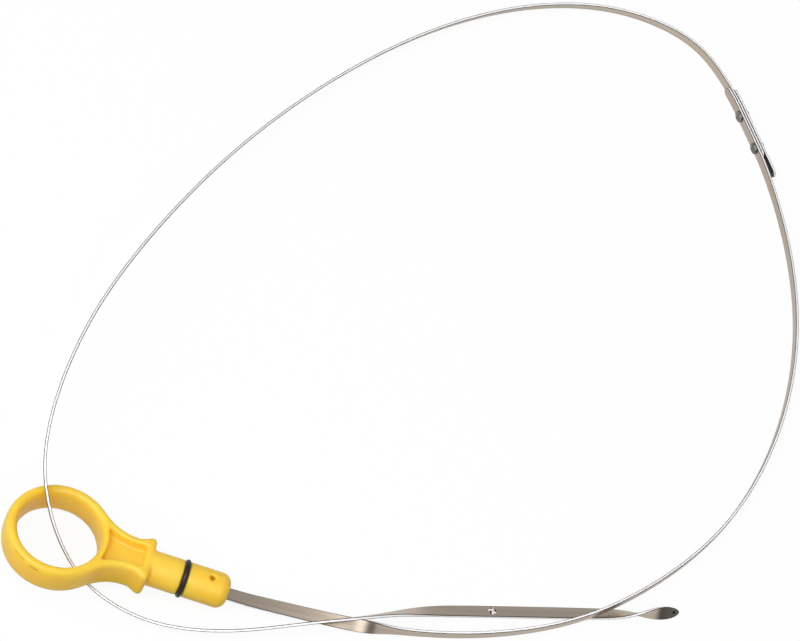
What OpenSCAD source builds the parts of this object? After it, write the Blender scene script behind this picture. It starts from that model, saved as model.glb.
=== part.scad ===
// Engine oil dipstick: a moulded finger-ring handle with a sealing ring, and a long
// spring-steel blade in two lengths riveted together, lying in one loose loop on a flat
// surface. Millimetres, +Z up, the origin under the middle of the whole loop.

/* [Finger ring] */
// Radius of the finger hole
ring_hole_r = 13.6; // [11:0.1:15]
// Radial thickness of the ring's band
ring_wall = 3.4; // [3:0.1:5]
// Depth of the ring, and of the whole flat part of the handle
handle_depth = 11.4; // [9:0.1:13]
// Rounding of the ring's four edges
ring_edge_r = 1.6; // [0.8:0.1:1.7]

/* [Neck] */
// Half width of the neck at its waist
waist_half = 6.3; // [5:0.1:7.5]
// Radius of the hollow sides that run from the ring to the collar
waist_r = 16; // [12:0.5:18]
// Distance from the ring's centre to the collar's face
collar_x = 30.4; // [29:0.1:33]
// Half width of the collar
collar_half = 8; // [7.5:0.1:9]
// Length of the collar's straight rim
collar_t = 1.3; // [1:0.1:3]
// Length over which the neck's sides flare out to the collar
collar_flare = 4; // [1:0.1:6]
// Rounding of the neck's and the collar's edges
neck_edge_r = 1.4; // [0.6:0.1:1.8]
// Distance from the ring's centre to the near side of the pockets
pocket_r = 15.7; // [15:0.1:17.5]
// Width of the wall left round the pockets
pocket_wall = 2.6; // [1.8:0.1:3]
// Depth of the pocket in each face
pocket_depth = 3.2; // [1:0.1:4]

/* [Stem] */
// Radius of the stem that plugs the dipstick tube
stem_r = 5.7; // [5:0.1:6.5]
// Distance from the ring's centre to the end of the nose
nose_x = 56.4; // [54:0.1:60]
// Rounding of the nose
nose_edge_r = 3.4; // [1:0.1:4]
// Radius of the locating hole in each side of the nose
locator_r = 0.95; // [0.6:0.05:1.2]
// Distance from the locating holes to the end of the nose
locator_back = 6.6; // [4:0.1:8]
// Depth of each locating hole
locator_depth = 3.4; // [2:0.1:3.8]

/* [Sealing ring] */
// Distance from the ring's centre to the middle of the sealing ring
seal_x = 41.5; // [40:0.1:44]
// Thickness of the sealing ring's round section
seal_cord = 1.7; // [1.4:0.1:2.2]
// How far the sealing ring stands out of the stem
seal_proud = 0.55; // [0.3:0.05:0.8]
// Extra width of the groove over the sealing ring
groove_room = 0.3; // [0.2:0.1:1]

/* [Blades] */
// Length of the loop that the blades lie in
loop_x = 271; // [255:1:290]
// Width of the steel strip
blade_w = 4.3; // [3.5:0.1:5]
// Thickness of the steel strip
blade_t = 0.9; // [0.6:0.05:1]
// Length of the blade that is moulded into the nose
blade_grip = 13; // [8:0.5:14]
// Radius of the stamped level mark
mark_r = 1.35; // [0.8:0.05:1.6]
// Depth of the stamped level mark
mark_depth = 0.12; // [0.05:0.01:0.3]
// Length over which the tip narrows to its round end
tip_length = 5.2; // [3:0.1:7]
// Radius of the small hole in the tip
tip_hole_r = 0.45; // [0.3:0.05:0.8]
// Distance from the middle of the tip's hole to the very end
tip_hole_back = 1.9; // [1.6:0.1:3]

/* [Riveted joint] */
// How far the upper blade's end runs past the joint's middle
upper_lap = 16.1; // [10:0.1:18]
// How far the lower blade's end runs past it the other way
lower_lap = 11.4; // [9.5:0.1:15]
// Length of the backing plate on the joint's outside
plate_length = 34.4; // [30:0.1:40]
// How far the plate's middle is past the joint's middle, on the upper blade's side
plate_back = 2; // [0:0.1:3]
// Distance between the two rivets
rivet_pitch = 13.4; // [10:0.1:14]
// Radius of a rivet's shank
rivet_r = 1.1; // [0.8:0.05:1.2]
// Radius of a rivet's set head
rivet_head_r = 1.9; // [1.6:0.05:2.1]
// Height of a rivet's set head
rivet_head_h = 1.05; // [0.6:0.05:1.3]
// Radius of a rivet's hammered tail
rivet_tail_r = 1.7; // [1.5:0.05:2]
// Height of a rivet's hammered tail
rivet_tail_h = 0.6; // [0.4:0.05:0.9]

/* [Clearances] */
// Gap between the two strips at the lap
lap_gap = 0.04; // [0.02:0.01:0.1]
// Gap round the blade inside the nose
slot_gap = 0.06; // [0.03:0.01:0.15]
// Gap under a rivet's head and its tail
head_gap = 0.06; // [0.03:0.01:0.12]
// Gap between a rivet's shank and its hole
rivet_gap = 0.06; // [0.03:0.01:0.15]
// Gap between the sealing ring and the bottom of its groove
seal_gap = 0.03; // [0.02:0.01:0.1]

/* [Hidden] */
$fn = 96;

// Sizes that follow from the ones above
ring_r = ring_hole_r + ring_wall;
half_depth = handle_depth / 2;
waist_x = sqrt((ring_r + waist_r) ^ 2 - (waist_half + waist_r) ^ 2);
blend_x = waist_x * ring_r / (ring_r + waist_r);
groove_r = stem_r + seal_proud - seal_cord - seal_gap;
groove_w = seal_cord + groove_room;
slot_w = blade_w + 2 * slot_gap;
slot_t = blade_t + 2 * slot_gap;

// Half of the lap's thickness: how far each strip stands off its route
lap_shift = (blade_t + lap_gap) / 2;

// The neck's faces lie a hair below the ring's
neck_drop = 0.1;

// Longest step between a strip's sections, and the largest turn from one to the next
strip_step = 2.6;
turn_step = 7;

// Places and routes below are written for a loop 271 long
plan = loop_x / 271;

// How the handle lies: where the ring's centre is, which way the stem points, how far the
// nose hangs below the ring, and how far the ring is rolled by the blade that runs under it
handle_at = [-118.3 * plan, -92.1 * plan, 11];
handle_heading = -15.7;
handle_droop = 5.6;
handle_roll = 14;

// Height of the ring's top face over the ground, at its middle
ring_top = handle_at.z + half_depth;

// The riveted joint: its middle, on the faces where the strips meet, and its direction
joint_at = [125.1 * plan, 72.2 * plan, blade_w / 2];
joint_heading = 108.4;
joint_step = 7.5;

// A point of the handle's axis, x from the ring's centre, with the blade's turn there
function on_handle(x) = [
    handle_at.x + x * cos(handle_heading) * cos(handle_droop),
    handle_at.y + x * sin(handle_heading) * cos(handle_droop),
    handle_at.z - x * sin(handle_droop),
    90 + handle_roll];

// A point of the joint, x along it from its middle and out from the lap to the loop's outside
function on_joint(x, out = 0) = [
    joint_at.x + x * cos(joint_heading) + out * sin(joint_heading),
    joint_at.y + x * sin(joint_heading) - out * cos(joint_heading),
    joint_at.z, 0];

// Height of a route over the ground where its strip just touches, for the strip's turn and
// the side of the route that it is on
function rest(turn, side) =
    blade_w / 2 * abs(cos(turn)) + blade_t / 2 * abs(sin(turn)) + side * lap_shift * sin(turn);

// Rows of x, y, height clear of the ground and turn, made into rows of x, y, z and turn
function laid(rows, side) = [
    for (r = rows) [r[0] * plan, r[1] * plan, r[2] + rest(r[3], side), r[3]]];

// Routes of the two blades. The turn stands the strip on its edge at 0, and at 90 lays it
// flat with its top edge to the left of the way that it runs.
joint_rows = 3;
joint_route = [for (i = [-joint_rows : 2]) on_joint(i * joint_step)];
crown_route = laid([
    [112.2, 103.2, 0.15, 2],
    [100.4, 112.9, 0.2, 9],
    [81.7, 119.8, 0.2, 13]], 0);
upper_route = concat(
    [for (x = [nose_x - blade_grip, nose_x - blade_grip / 2, nose_x]) on_handle(x)],
    [on_handle(nose_x + blade_grip / 2) - [0, 0, 0, handle_roll / 2]],
    laid([
        [-46, -111.6, 3.35, 89],
        [-34, -114.2, 2.65, 84],
        [-25, -115.9, 1.75, 72],
        [-19, -117, 0.9, 48],
        [-13, -117.8, 0.35, 6],
        [-4, -118.7, 0.15, 0],
        [12, -119.3, 0.15, 0],
        [30, -118, 0.65, 0],
        [48, -114.8, 2.85, 0],
        [66.2, -107.3, 3.05, 0],
        [89.7, -92, 0.25, 0],
        [109.3, -72.4, 0, 0],
        [125, -45.2, 0, 0],
        [134, -16, 0, 0],
        [136.4, 12, 0, 0],
        [134, 38.3, 0, 0]], 1),
    [for (i = [-2 : 2]) on_joint(i * joint_step)],
    crown_route);
plate_route = concat(joint_route, crown_route);
lower_route = concat(
    plate_route,
    laid([
        [60, 120.8, 0.35, 15],
        [35.8, 116.2, 0.35, 17],
        [9.7, 105.7, 0.5, 20],
        [-15.3, 90.2, 1.5, 20],
        [-39.8, 70.7, 3.45, 18],
        [-64, 46.5, 6.95, 15],
        [-87.8, 16.2, 11.4, 11],
        [-107.8, -15.5, 15.15, 8],
        [-119.4, -46.1, ring_top + 0.45, 3],
        [-122.9, -66.4, ring_top - 0.15, 0],
        [-122.1, -78.8, ring_top - 1.8, -3],
        [-119.3, -88.5, 10.25, -7],
        [-115.2, -95.5, 4.7, -12],
        [-111, -101, 1.5, -15],
        [-103.8, -108.2, 0.3, -18],
        [-91, -115.5, 0.35, -20],
        [-76, -118.6, 0.65, -20],
        [-60, -118.9, 1.85, -20],
        [-45, -117.3, 3.85, -19],
        [-32, -115.9, 4.85, -19],
        [-20, -114.4, 4.55, -21],
        [-9, -111.8, 2.1, -34],
        [2, -110.4, 0.85, -68],
        [16, -110.1, 0.25, -72],
        [32, -110, 0.1, -71],
        [48, -110, 0.1, -71],
        [60, -110, 0.05, -66],
        [66, -109.9, 0.05, -50],
        [71, -109.7, 0.35, -18],
        [75.5, -109.5, 1, 60],
        [79.5, -109.2, 0.6, 88],
        [83.5, -108.7, 0.4, 90]], -1));

// Where the strips begin and end on their routes, counted in rows, and the level mark's row
upper_end = len(upper_route) - len(crown_route) - 3 + upper_lap / joint_step;
lower_start = joint_rows - lower_lap / joint_step;
plate_start = joint_rows - (plate_length / 2 + plate_back) / joint_step;
plate_end = plate_start + plate_length / joint_step;
lower_end = len(lower_route) - 1;
mark_row = lower_end - 7.67;

// Control row i of a route, with one straight step added past either end
function control(p, i) =
    i < 0 ? 2 * p[0] - p[1] :
    i > len(p) - 1 ? 2 * p[len(p) - 1] - p[len(p) - 2] : p[i];

// A route's x, y, z and turn at s rows from its start, on a smooth cubic curve
function on_route(p, s) =
    let (i = min(floor(s), len(p) - 2), u = s - i)
    ((1 - u) ^ 3 * control(p, i - 1)
        + (3 * u ^ 3 - 6 * u ^ 2 + 4) * control(p, i)
        + (-3 * u ^ 3 + 3 * u ^ 2 + 3 * u + 1) * control(p, i + 1)
        + u ^ 3 * control(p, i + 2)) / 6;

// How fast the point moves there, in millimetres a row
function speed(p, s) =
    let (i = min(floor(s), len(p) - 2), u = s - i,
        v = (-(1 - u) ^ 2 * control(p, i - 1)
            + (3 * u ^ 2 - 4 * u) * control(p, i)
            + (-3 * u ^ 2 + 2 * u + 1) * control(p, i + 1)
            + u ^ 2 * control(p, i + 2)) / 2)
    [v.x, v.y, v.z];

function unit(v) = v / norm(v);

// The strip's own directions at s: along it, across its width, and out of its left face
function strip_axes(p, s) =
    let (ahead = unit(speed(p, s)), left = unit(cross([0, 0, 1], ahead)),
        up = cross(ahead, left), turn = on_route(p, s)[3])
    [ahead, up * cos(turn) + left * sin(turn), left * cos(turn) - up * sin(turn)];

// The four corners of the strip's section at s, with the strip on one side of its route
function strip_corners(p, s, half_w, side) =
    let (q = on_route(p, s), middle = [q.x, q.y, q.z], axes = strip_axes(p, s),
        near = side * lap_shift - blade_t / 2, far = side * lap_shift + blade_t / 2)
    [middle + axes[1] * half_w + axes[2] * far, middle + axes[1] * half_w + axes[2] * near,
     middle - axes[1] * half_w + axes[2] * near, middle - axes[1] * half_w + axes[2] * far];

// The sections of a round end that is long from its tip to the full width: how far from the
// end each one is, and half the strip's width there
function end_rows(long) = [
    for (a = [8 : 10 : 88]) [long * (1 - cos(a)), blade_w / 2 * sin(a)]];

// Rows of sections between the round ends
function middle_rows(p, from, to) = [
    for (i = [floor(from) : ceil(to) - 1])
        let (turned = abs(on_route(p, i + 1)[3] - on_route(p, i)[3]),
            n = max(2, ceil(norm(speed(p, i + 0.5)) / strip_step), ceil(turned / turn_step)))
            for (k = [0 : n - 1])
                let (s = i + k / n) if (s > from && s < to) s];

// A strip swept along a route, rounded at both ends
module strip(p, from, to, side, last_end = blade_w / 2) {
    start_v = norm(speed(p, from));
    end_v = norm(speed(p, to));
    first = end_rows(blade_w / 2);
    final = end_rows(last_end);
    inner = middle_rows(p, from + blade_w / 2 / start_v, to - last_end / end_v);
    rows = concat([for (e = first) [from + e[0] / start_v, e[1]]],
        [for (s = inner) [s, blade_w / 2]],
        [for (i = [len(final) - 1 : -1 : 0]) [to - final[i][0] / end_v, final[i][1]]]);
    points = [for (row = rows) each strip_corners(p, row[0], row[1], side)];
    last = len(rows) - 1;
    polyhedron(points, concat([[0, 1, 2, 3]],
        [for (j = [0 : last - 1]) for (k = [0 : 3])
            [4 * j + k, 4 * j + 4 + k, 4 * j + 4 + (k + 1) % 4, 4 * j + (k + 1) % 4]],
        [[for (k = [3 : -1 : 0]) 4 * last + k]]), convexity = 10);
}

// Places children on a strip's left face direction at s, z = 0 on the route
module on_strip(p, s) {
    q = on_route(p, s);
    a = strip_axes(p, s);
    multmatrix([[a[0].x, -a[1].x, a[2].x, q.x],
                [a[0].y, -a[1].y, a[2].y, q.y],
                [a[0].z, -a[1].z, a[2].z, q.z]]) children();
}

// Places children at x along the joint, z pointing to the inside of the loop
module at_joint(x) {
    translate([on_joint(x).x, on_joint(x).y, on_joint(x).z])
        rotate([0, 0, joint_heading]) rotate([-90, 0, 0]) children();
}

// Puts a thing made in the handle's own frame where the handle lies
module lay_handle() {
    translate(handle_at) rotate([0, 0, handle_heading]) rotate([0, handle_droop, 0])
        rotate([-handle_roll, 0, 0]) children();
}

// A rectangle with exact round corners, centred, at least r on each side
module rounded_square(w, h, r) {
    square([w - 2 * r, h], center = true);
    square([w, h - 2 * r], center = true);
    for (x = [-1, 1]) for (y = [-1, 1])
        translate([x * (w / 2 - r), y * (h / 2 - r)]) circle(r);
}

module ring_band() {
    rotate_extrude() translate([ring_hole_r + ring_wall / 2, 0])
        rounded_square(ring_wall, handle_depth, ring_edge_r);
}

// Half width of the neck at x: hollow at the waist, held inside the ring, and flared
// to the collar over its last part
function neck_half(x) =
    let (hollow = waist_half + waist_r - sqrt(max(0, waist_r ^ 2 - (x - waist_x) ^ 2)),
        lift = min(1, max(0, (x - collar_x + collar_t + collar_flare) / collar_flare)))
    x < blend_x ? sqrt((ring_r - 0.1) ^ 2 - x ^ 2) :
        hollow + (collar_half - hollow) * lift ^ 2 * (3 - 2 * lift);

// One section of the neck: a rectangle with round corners, drawn in by e all round
function neck_section(x, e) =
    let (w = neck_half(x) - e, h = half_depth - neck_drop - e, r = neck_edge_r)
    [for (c = [[1, 1, 0], [-1, 1, 90], [-1, -1, 180], [1, -1, 270]]) for (a = [0 : 15 : 90])
        [x, c[0] * (w - r) + r * cos(c[2] + a), c[1] * (h - r) + r * sin(c[2] + a)]];

// The neck and collar: sections lofted from inside the ring's band to the collar's face
module neck_loft() {
    first = ring_hole_r - 1;
    flare_start = collar_x - collar_t - collar_flare;
    stations = concat(
        [for (i = [0 : 11]) [first + i * (flare_start - first) / 12, 0]],
        [for (i = [0 : 8]) [flare_start + i * collar_flare / 8, 0]],
        [for (a = [0 : 18 : 90]) [collar_x - neck_edge_r * (1 - sin(a)), neck_edge_r * (1 - cos(a))]]);
    sections = [for (st = stations) neck_section(st[0], min(st[1], neck_edge_r - 0.05))];
    n = len(sections[0]);
    last = len(sections) - 1;
    polyhedron([for (sec = sections) each sec], concat([[for (k = [0 : n - 1]) k]],
        [for (j = [0 : last - 1]) for (k = [0 : n - 1])
            [n * j + k, n * j + n + k, n * j + n + (k + 1) % n, n * j + (k + 1) % n]],
        [[for (k = [n - 1 : -1 : 0]) n * last + k]]), convexity = 4);
}

// A pocket seen from above: the ring's curve on the left, the waist's at the sides
module pocket_outline() {
    difference() {
        translate([blend_x, -ring_r / 2]) square([collar_x - pocket_wall - blend_x, ring_r]);
        circle(pocket_r);
        for (y = [-1, 1]) translate([waist_x, y * (waist_half + waist_r)]) circle(waist_r + pocket_wall);
    }
}

// The stem's half outline: radius across, distance from the ring's centre upwards
module stem_outline() {
    difference() {
        union() {
            square([stem_r, nose_x - nose_edge_r]);
            intersection() {
                translate([stem_r - nose_edge_r, nose_x - nose_edge_r]) circle(nose_edge_r);
                square([stem_r, nose_x]);
            }
            square([max(0.5, stem_r - nose_edge_r), nose_x]);
        }
        square([stem_r + 1, collar_x - 2 * collar_t]);
        translate([groove_r, seal_x - groove_w / 2]) square([stem_r, groove_w]);
    }
}

// Finger ring, neck, collar, stem and nose are one moulding
module handle() {
    color("#F0C23C") lay_handle() difference() {
        union() {
            ring_band();
            difference() {
                neck_loft();
                cylinder(r = ring_hole_r + ring_wall / 2, h = handle_depth + 2, center = true);
            }
            rotate([0, 90, 0]) rotate_extrude() stem_outline();
        }
        for (side = [0, 180]) rotate([side, 0, 0]) {
            translate([0, 0, half_depth - neck_drop - pocket_depth])
                linear_extrude(pocket_depth + 1) pocket_outline();
            translate([nose_x - locator_back, 0, stem_r - locator_depth])
                cylinder(r = locator_r, h = locator_depth + 1);
        }
        translate([nose_x - blade_grip - slot_gap, -slot_w / 2, -lap_shift - slot_t / 2])
            cube([blade_grip + slot_gap + 1, slot_w, slot_t]);
    }
}

// Rubber ring stretched into the stem's groove
module sealing_ring() {
    color("#1E1E20") lay_handle() translate([seal_x, 0, 0]) rotate([0, 90, 0]) rotate_extrude()
        translate([groove_r + seal_gap + seal_cord / 2, 0]) circle(seal_cord / 2);
}

// Strip that is moulded into the nose and ends at the rivets
module upper_blade() {
    color("#B4A79A") difference() {
        strip(upper_route, 0, upper_end, 1);
        rivet_holes();
    }
}

// Strip with the level mark and the twisted tip
module lower_blade() {
    color("#A89A8C") difference() {
        strip(lower_route, lower_start, lower_end, -1, tip_length);
        rivet_holes();
        on_strip(lower_route, mark_row) translate([0, 0, blade_t / 2 - lap_shift - mark_depth])
            cylinder(r = mark_r, h = 1);
        on_strip(lower_route, lower_end - tip_hole_back / norm(speed(lower_route, lower_end)))
            translate([0, 0, -lap_shift]) cylinder(r = tip_hole_r, h = blade_t + 1, center = true);
    }
}

// Short plate that backs the joint: its heel runs on past the lower blade's end
module joint_plate() {
    color("#C2BAB0") difference() {
        strip(plate_route, plate_start, plate_end, -3);
        rivet_holes();
    }
}

module rivet_holes() {
    for (x = [-1, 1]) at_joint(x * rivet_pitch / 2)
        cylinder(r = rivet_r + rivet_gap, h = 6 * blade_t, center = true);
}

// A solid cap: a round disc, half of its height straight and the rest domed
module rivet_cap(r, h) {
    dome = h / 2;
    ball_r = (r ^ 2 + dome ^ 2) / (2 * dome);
    rotate_extrude() intersection() {
        square([r, h]);
        translate([0, h - ball_r]) circle(ball_r);
    }
}

// A rivet through both strips and the plate: set head inside the loop, hammered tail outside
module rivet(x) {
    face = lap_shift + blade_t / 2 + head_gap;
    foot = 3 * lap_shift + blade_t / 2 + head_gap;
    color("#8E8F8C") at_joint(x) {
        translate([0, 0, -foot]) cylinder(r = rivet_r, h = face + foot);
        translate([0, 0, face]) rivet_cap(rivet_head_r, rivet_head_h);
        mirror([0, 0, 1]) translate([0, 0, foot]) rivet_cap(rivet_tail_r, rivet_tail_h);
    }
}

module upper_rivet() { rivet(rivet_pitch / 2); }

module lower_rivet() { rivet(-rivet_pitch / 2); }

handle();
sealing_ring();
upper_blade();
lower_blade();
joint_plate();
upper_rivet();
lower_rivet();
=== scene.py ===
"""Engine oil dipstick: the finish of its moulded handle, sealing ring, steel strips and rivets.

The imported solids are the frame. The handle is a softened copy of its solid, because a moulding
has no sharp inner corners. The two strips are swept again along the part's own routes with
eased corners, so that the brushing can follow them. Metres, +Z up, as in the frame.
"""
import logging
import math
from dataclasses import dataclass, field
from enum import Enum
from typing import Any

import bmesh
import bpy
from mathutils import Matrix, Vector


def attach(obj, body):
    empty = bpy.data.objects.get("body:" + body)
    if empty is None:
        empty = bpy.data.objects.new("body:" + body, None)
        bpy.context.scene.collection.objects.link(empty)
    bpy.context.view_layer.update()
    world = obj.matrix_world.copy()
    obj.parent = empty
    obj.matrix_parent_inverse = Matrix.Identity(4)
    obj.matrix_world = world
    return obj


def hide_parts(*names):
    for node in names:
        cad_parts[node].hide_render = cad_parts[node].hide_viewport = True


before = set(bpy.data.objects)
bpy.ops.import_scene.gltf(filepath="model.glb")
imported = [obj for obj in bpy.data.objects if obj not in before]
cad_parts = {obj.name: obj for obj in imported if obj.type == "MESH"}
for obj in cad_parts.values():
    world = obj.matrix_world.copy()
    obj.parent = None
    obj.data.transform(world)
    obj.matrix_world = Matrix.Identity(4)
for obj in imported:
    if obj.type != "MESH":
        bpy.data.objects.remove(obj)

LOG = logging.getLogger("dipstick")
MM = 0.001
PICTURE_WIDTH_PX = 800
# Points closer than this are one point
WELD_MM = 0.002
# Edges sharper than this stay crisp
CREASE_DEG = 40.0
STRIP_UV = "strip"
# A strip's turn where it lies flat
FLAT_DEG = 90

Socket = bpy.types.NodeSocket
Tree = bpy.types.Material | bpy.types.World


class Slot(Enum):
    """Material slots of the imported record."""

    HANDLE = "handle_plastic"
    SEAL = "seal_rubber"
    UPPER_STRIP = "upper_strip_steel"
    LOWER_STRIP = "lower_strip_steel"
    RIVET = "rivet_steel"


class StripFace(Enum):
    """Which part of a strip's skin a face belongs to, as its material index."""

    FLAT = 0
    EDGE = 1
    CORNER = 2


class Side(Enum):
    """A strip's two flat sides, seen along its route."""

    LEFT = 1
    RIGHT = -1


class Curve(Enum):
    """How a value goes from one end of a range to the other."""

    STRAIGHT = "LINEAR"
    SOFT = "SMOOTHSTEP"


# Shader helpers


def linear(hex_colour: str) -> tuple[float, float, float, float]:
    """Turns an sRGB colour into the linear values that shaders take.

    Args:
        hex_colour: Six hex digits, with or without a leading hash.

    Returns:
        Red, green, blue and an alpha of 1.
    """
    digits = hex_colour.lstrip("#")
    parts = [int(digits[i:i + 2], 16) / 255 for i in (0, 2, 4)]
    straight = [c / 12.92 if c <= 0.04045 else ((c + 0.055) / 1.055) ** 2.4 for c in parts]
    return (straight[0], straight[1], straight[2], 1.0)


def fill(owner: Tree, node: bpy.types.ShaderNode, inputs: dict[str | int, Any]) -> None:
    """Fills a node's inputs.

    Args:
        owner: What the node tree belongs to.
        node: The node.
        inputs: Socket values, or output sockets to link from, by input name or number.
    """
    for name, value in inputs.items():
        if isinstance(value, bpy.types.NodeSocket):
            owner.node_tree.links.new(value, node.inputs[name])
        else:
            node.inputs[name].default_value = value


def add_node(owner: Tree, kind: str, settings: dict[str, Any] | None = None,
             inputs: dict[str | int, Any] | None = None) -> bpy.types.ShaderNode:
    """Adds one shader node.

    Args:
        owner: What the node tree belongs to.
        kind: The node's type without its "ShaderNode" prefix.
        settings: Attributes of the node itself.
        inputs: What its inputs are filled with.

    Returns:
        The new node.
    """
    node = owner.node_tree.nodes.new("ShaderNode" + kind)
    for name, value in (settings or {}).items():
        setattr(node, name, value)
    fill(owner, node, inputs or {})
    return node


def new_material(name: str) -> tuple[bpy.types.Material, bpy.types.ShaderNode]:
    """Makes a material that holds only its Principled shader.

    Args:
        name: The material's name.

    Returns:
        The material and its Principled node.
    """
    material = bpy.data.materials.new(name)
    material.use_nodes = True
    return material, material.node_tree.nodes["Principled BSDF"]


def noise(material: bpy.types.Material, place: Socket, scale: float, detail: float,
          roughness: float = 0.5, flat: bool = False) -> Socket:
    """Adds noise.

    Args:
        material: The material that it goes into.
        place: Its coordinates.
        scale: How many grains it has to one unit of the coordinates.
        detail: How many finer layers it has.
        roughness: How much the finer layers count.
        flat: Whether the coordinates are a map's, without depth.

    Returns:
        Its grey value.
    """
    return add_node(material, "TexNoise", {"noise_dimensions": "2D" if flat else "3D"}, {
        "Vector": place, "Scale": scale, "Detail": detail,
        "Roughness": roughness}).outputs["Fac"]


def ramp(material: bpy.types.Material, value: Socket, stops: tuple[float, float],
         colours: tuple[str, str]) -> Socket:
    """Turns a grey value into a colour between two.

    Args:
        material: The material that it goes into.
        value: The grey value.
        stops: The values where the first colour ends and the second one starts.
        colours: The two colours, as sRGB hex digits.

    Returns:
        The colour.
    """
    node = add_node(material, "ValToRGB", inputs={"Fac": value})
    for element, stop, colour in zip(node.color_ramp.elements, stops, colours):
        element.position = stop
        element.color = linear(colour)
    return node.outputs["Color"]


def remap(owner: Tree, value: Socket, low: Any, high: Any,
          source: tuple[float, float] = (0.0, 1.0), curve: Curve = Curve.STRAIGHT) -> Socket:
    """Maps a value to another range.

    Args:
        owner: What the node tree belongs to.
        value: The value.
        low: What the start of the source range becomes, a value or a socket.
        high: What its end becomes.
        source: The range that the value comes from.
        curve: How it goes from low to high.

    Returns:
        The mapped value.
    """
    return add_node(owner, "MapRange", {"interpolation_type": curve.value}, {
        "Value": value, "From Min": source[0], "From Max": source[1],
        "To Min": low, "To Max": high}).outputs["Result"]


def calculate(owner: Tree, operation: str, *values: Any) -> Socket:
    """Adds a sum of numbers or sockets and returns its value."""
    return add_node(owner, "Math", {"operation": operation}, dict(enumerate(values))).outputs[0]


def calculate_vector(owner: Tree, operation: str, *values: Any) -> bpy.types.bpy_prop_collection:
    """Adds a sum of vectors and returns its outputs, "Vector" and "Value"."""
    return add_node(owner, "VectorMath", {"operation": operation}, dict(enumerate(values))).outputs


def mix_colour(material: bpy.types.Material, share: Socket, under: Any, over: Any) -> Socket:
    """Mixes two colours: all under where the share is 0, all over where it is 1."""
    # In the node's colour mode these are the colours' numbers, among inputs of the same name
    return add_node(material, "Mix", {"data_type": "RGBA"}, {
        0: share, 6: under, 7: over}).outputs[2]


def bump(material: bpy.types.Material, height: Socket, strength: float, deep_mm: float) -> Socket:
    """Turns a height from 0 to 1 into the normal of a bumpy skin."""
    return add_node(material, "Bump", inputs={
        "Strength": strength, "Distance": deep_mm * MM, "Height": height}).outputs["Normal"]


# The part's own frame and routes, as in its source


@dataclass(frozen=True)
class HandlePose:
    """How the handle lies, and the places along it that other pieces need."""

    at: tuple[float, float, float] = (-118.3, -92.1, 11.0)
    heading: float = -15.7
    droop: float = 5.6
    roll: float = 14.0
    nose_x: float = 56.4
    blade_grip: float = 13.0
    locator_back: float = 6.6
    locator_up: float = 4.9

    def matrix(self) -> Matrix:
        """Returns the place of the handle's own frame, in metres."""
        return (Matrix.Translation(Vector(self.at) * MM)
                @ Matrix.Rotation(math.radians(self.heading), 4, "Z")
                @ Matrix.Rotation(math.radians(self.droop), 4, "Y")
                @ Matrix.Rotation(math.radians(-self.roll), 4, "X"))

    def row(self, x: float) -> tuple[float, float, float, float]:
        """Returns a route row on the handle's axis, x mm from the ring's centre."""
        heading, droop = math.radians(self.heading), math.radians(self.droop)
        return (self.at[0] + x * math.cos(heading) * math.cos(droop),
                self.at[1] + x * math.sin(heading) * math.cos(droop),
                self.at[2] - x * math.sin(droop), FLAT_DEG + self.roll)

    def locator(self) -> tuple[float, ...]:
        """Returns the middle of the upper locating hole, in millimetres."""
        place = Vector((self.nose_x - self.locator_back, 0, self.locator_up)) * MM
        return tuple(self.matrix() @ place / MM)


@dataclass(frozen=True)
class JointPose:
    """Where the riveted joint is, on the faces where the strips meet, and its direction."""

    at: tuple[float, float, float] = (125.1, 72.2, 2.15)
    heading: float = 108.4
    step: float = 7.5
    rivet_pitch: float = 13.4
    upper_lap: float = 16.1
    lower_lap: float = 11.4
    plate_length: float = 34.4
    plate_back: float = 2.0

    def row(self, x: float) -> tuple[float, float, float, float]:
        """Returns a route row x mm along the joint from its middle."""
        heading = math.radians(self.heading)
        return (self.at[0] + x * math.cos(heading), self.at[1] + x * math.sin(heading),
                self.at[2], 0.0)

    def matrix(self, x: float) -> Matrix:
        """Returns a place x mm along the joint, +Z to the inside of the loop, in metres."""
        return (Matrix.Translation(Vector(self.row(x)[:3]) * MM)
                @ Matrix.Rotation(math.radians(self.heading), 4, "Z")
                @ Matrix.Rotation(math.radians(-90), 4, "X"))


HANDLE = HandlePose()
JOINT = JointPose()
# Route rows past the joint, which its two strips and its plate share
CROWN_ROWS = [(112.2, 103.2, 2.3, 2.0), (100.4, 112.9, 2.4, 9.0), (81.7, 119.8, 2.4, 13.0)]


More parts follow.
